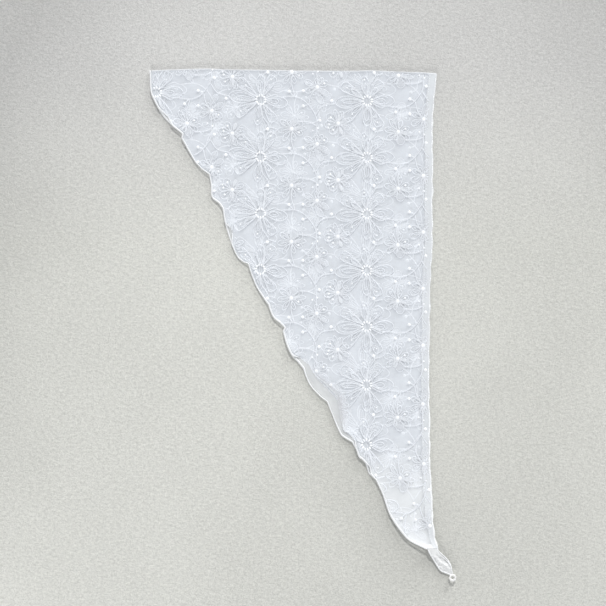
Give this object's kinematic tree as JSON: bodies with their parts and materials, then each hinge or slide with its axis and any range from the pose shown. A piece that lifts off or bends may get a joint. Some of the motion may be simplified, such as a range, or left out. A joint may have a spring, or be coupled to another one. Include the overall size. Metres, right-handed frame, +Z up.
{
  "type": "folded triangular embroidered shawl",
  "caption": "Triangle of sheer white embroidered cloth, folded once in half and laid flat, with a hemmed long edge, wavy overlocked short edges and gathered tie tips.",
  "frame": {"origin": "middle of the underside of the bounding box, on the surface that the shawl lies on", "axes": "+X to the straight hemmed long edge, +Y to the fold, +Z up from the surface"},
  "size_m": [0.3072, 0.5126, 0.0083],
  "materials": {
    "embroidered_voile": "sheer cool-white voile, fine plain weave, with raised white stitched flowers, soft matt",
    "hem_voile": "the same voile turned under, denser and whiter, with a stitch line",
    "overlock_thread": "white overlock thread, tightly wound, slight sheen",
    "tip_voile_upper": "gathered voile with overlocked edges",
    "tip_voile_lower": "gathered voile with overlocked edges",
    "loop_thread": "white thread chain, slight sheen"
  },
  "bodies": {
    "root": {"shawl_panel": "embroidered_voile", "long_edge_hem": "hem_voile", "rolled_edge": "overlock_thread", "tip_upper": "tip_voile_upper", "tip_lower": "tip_voile_lower", "thread_loop": "loop_thread"}
  },
  "joints": []
}
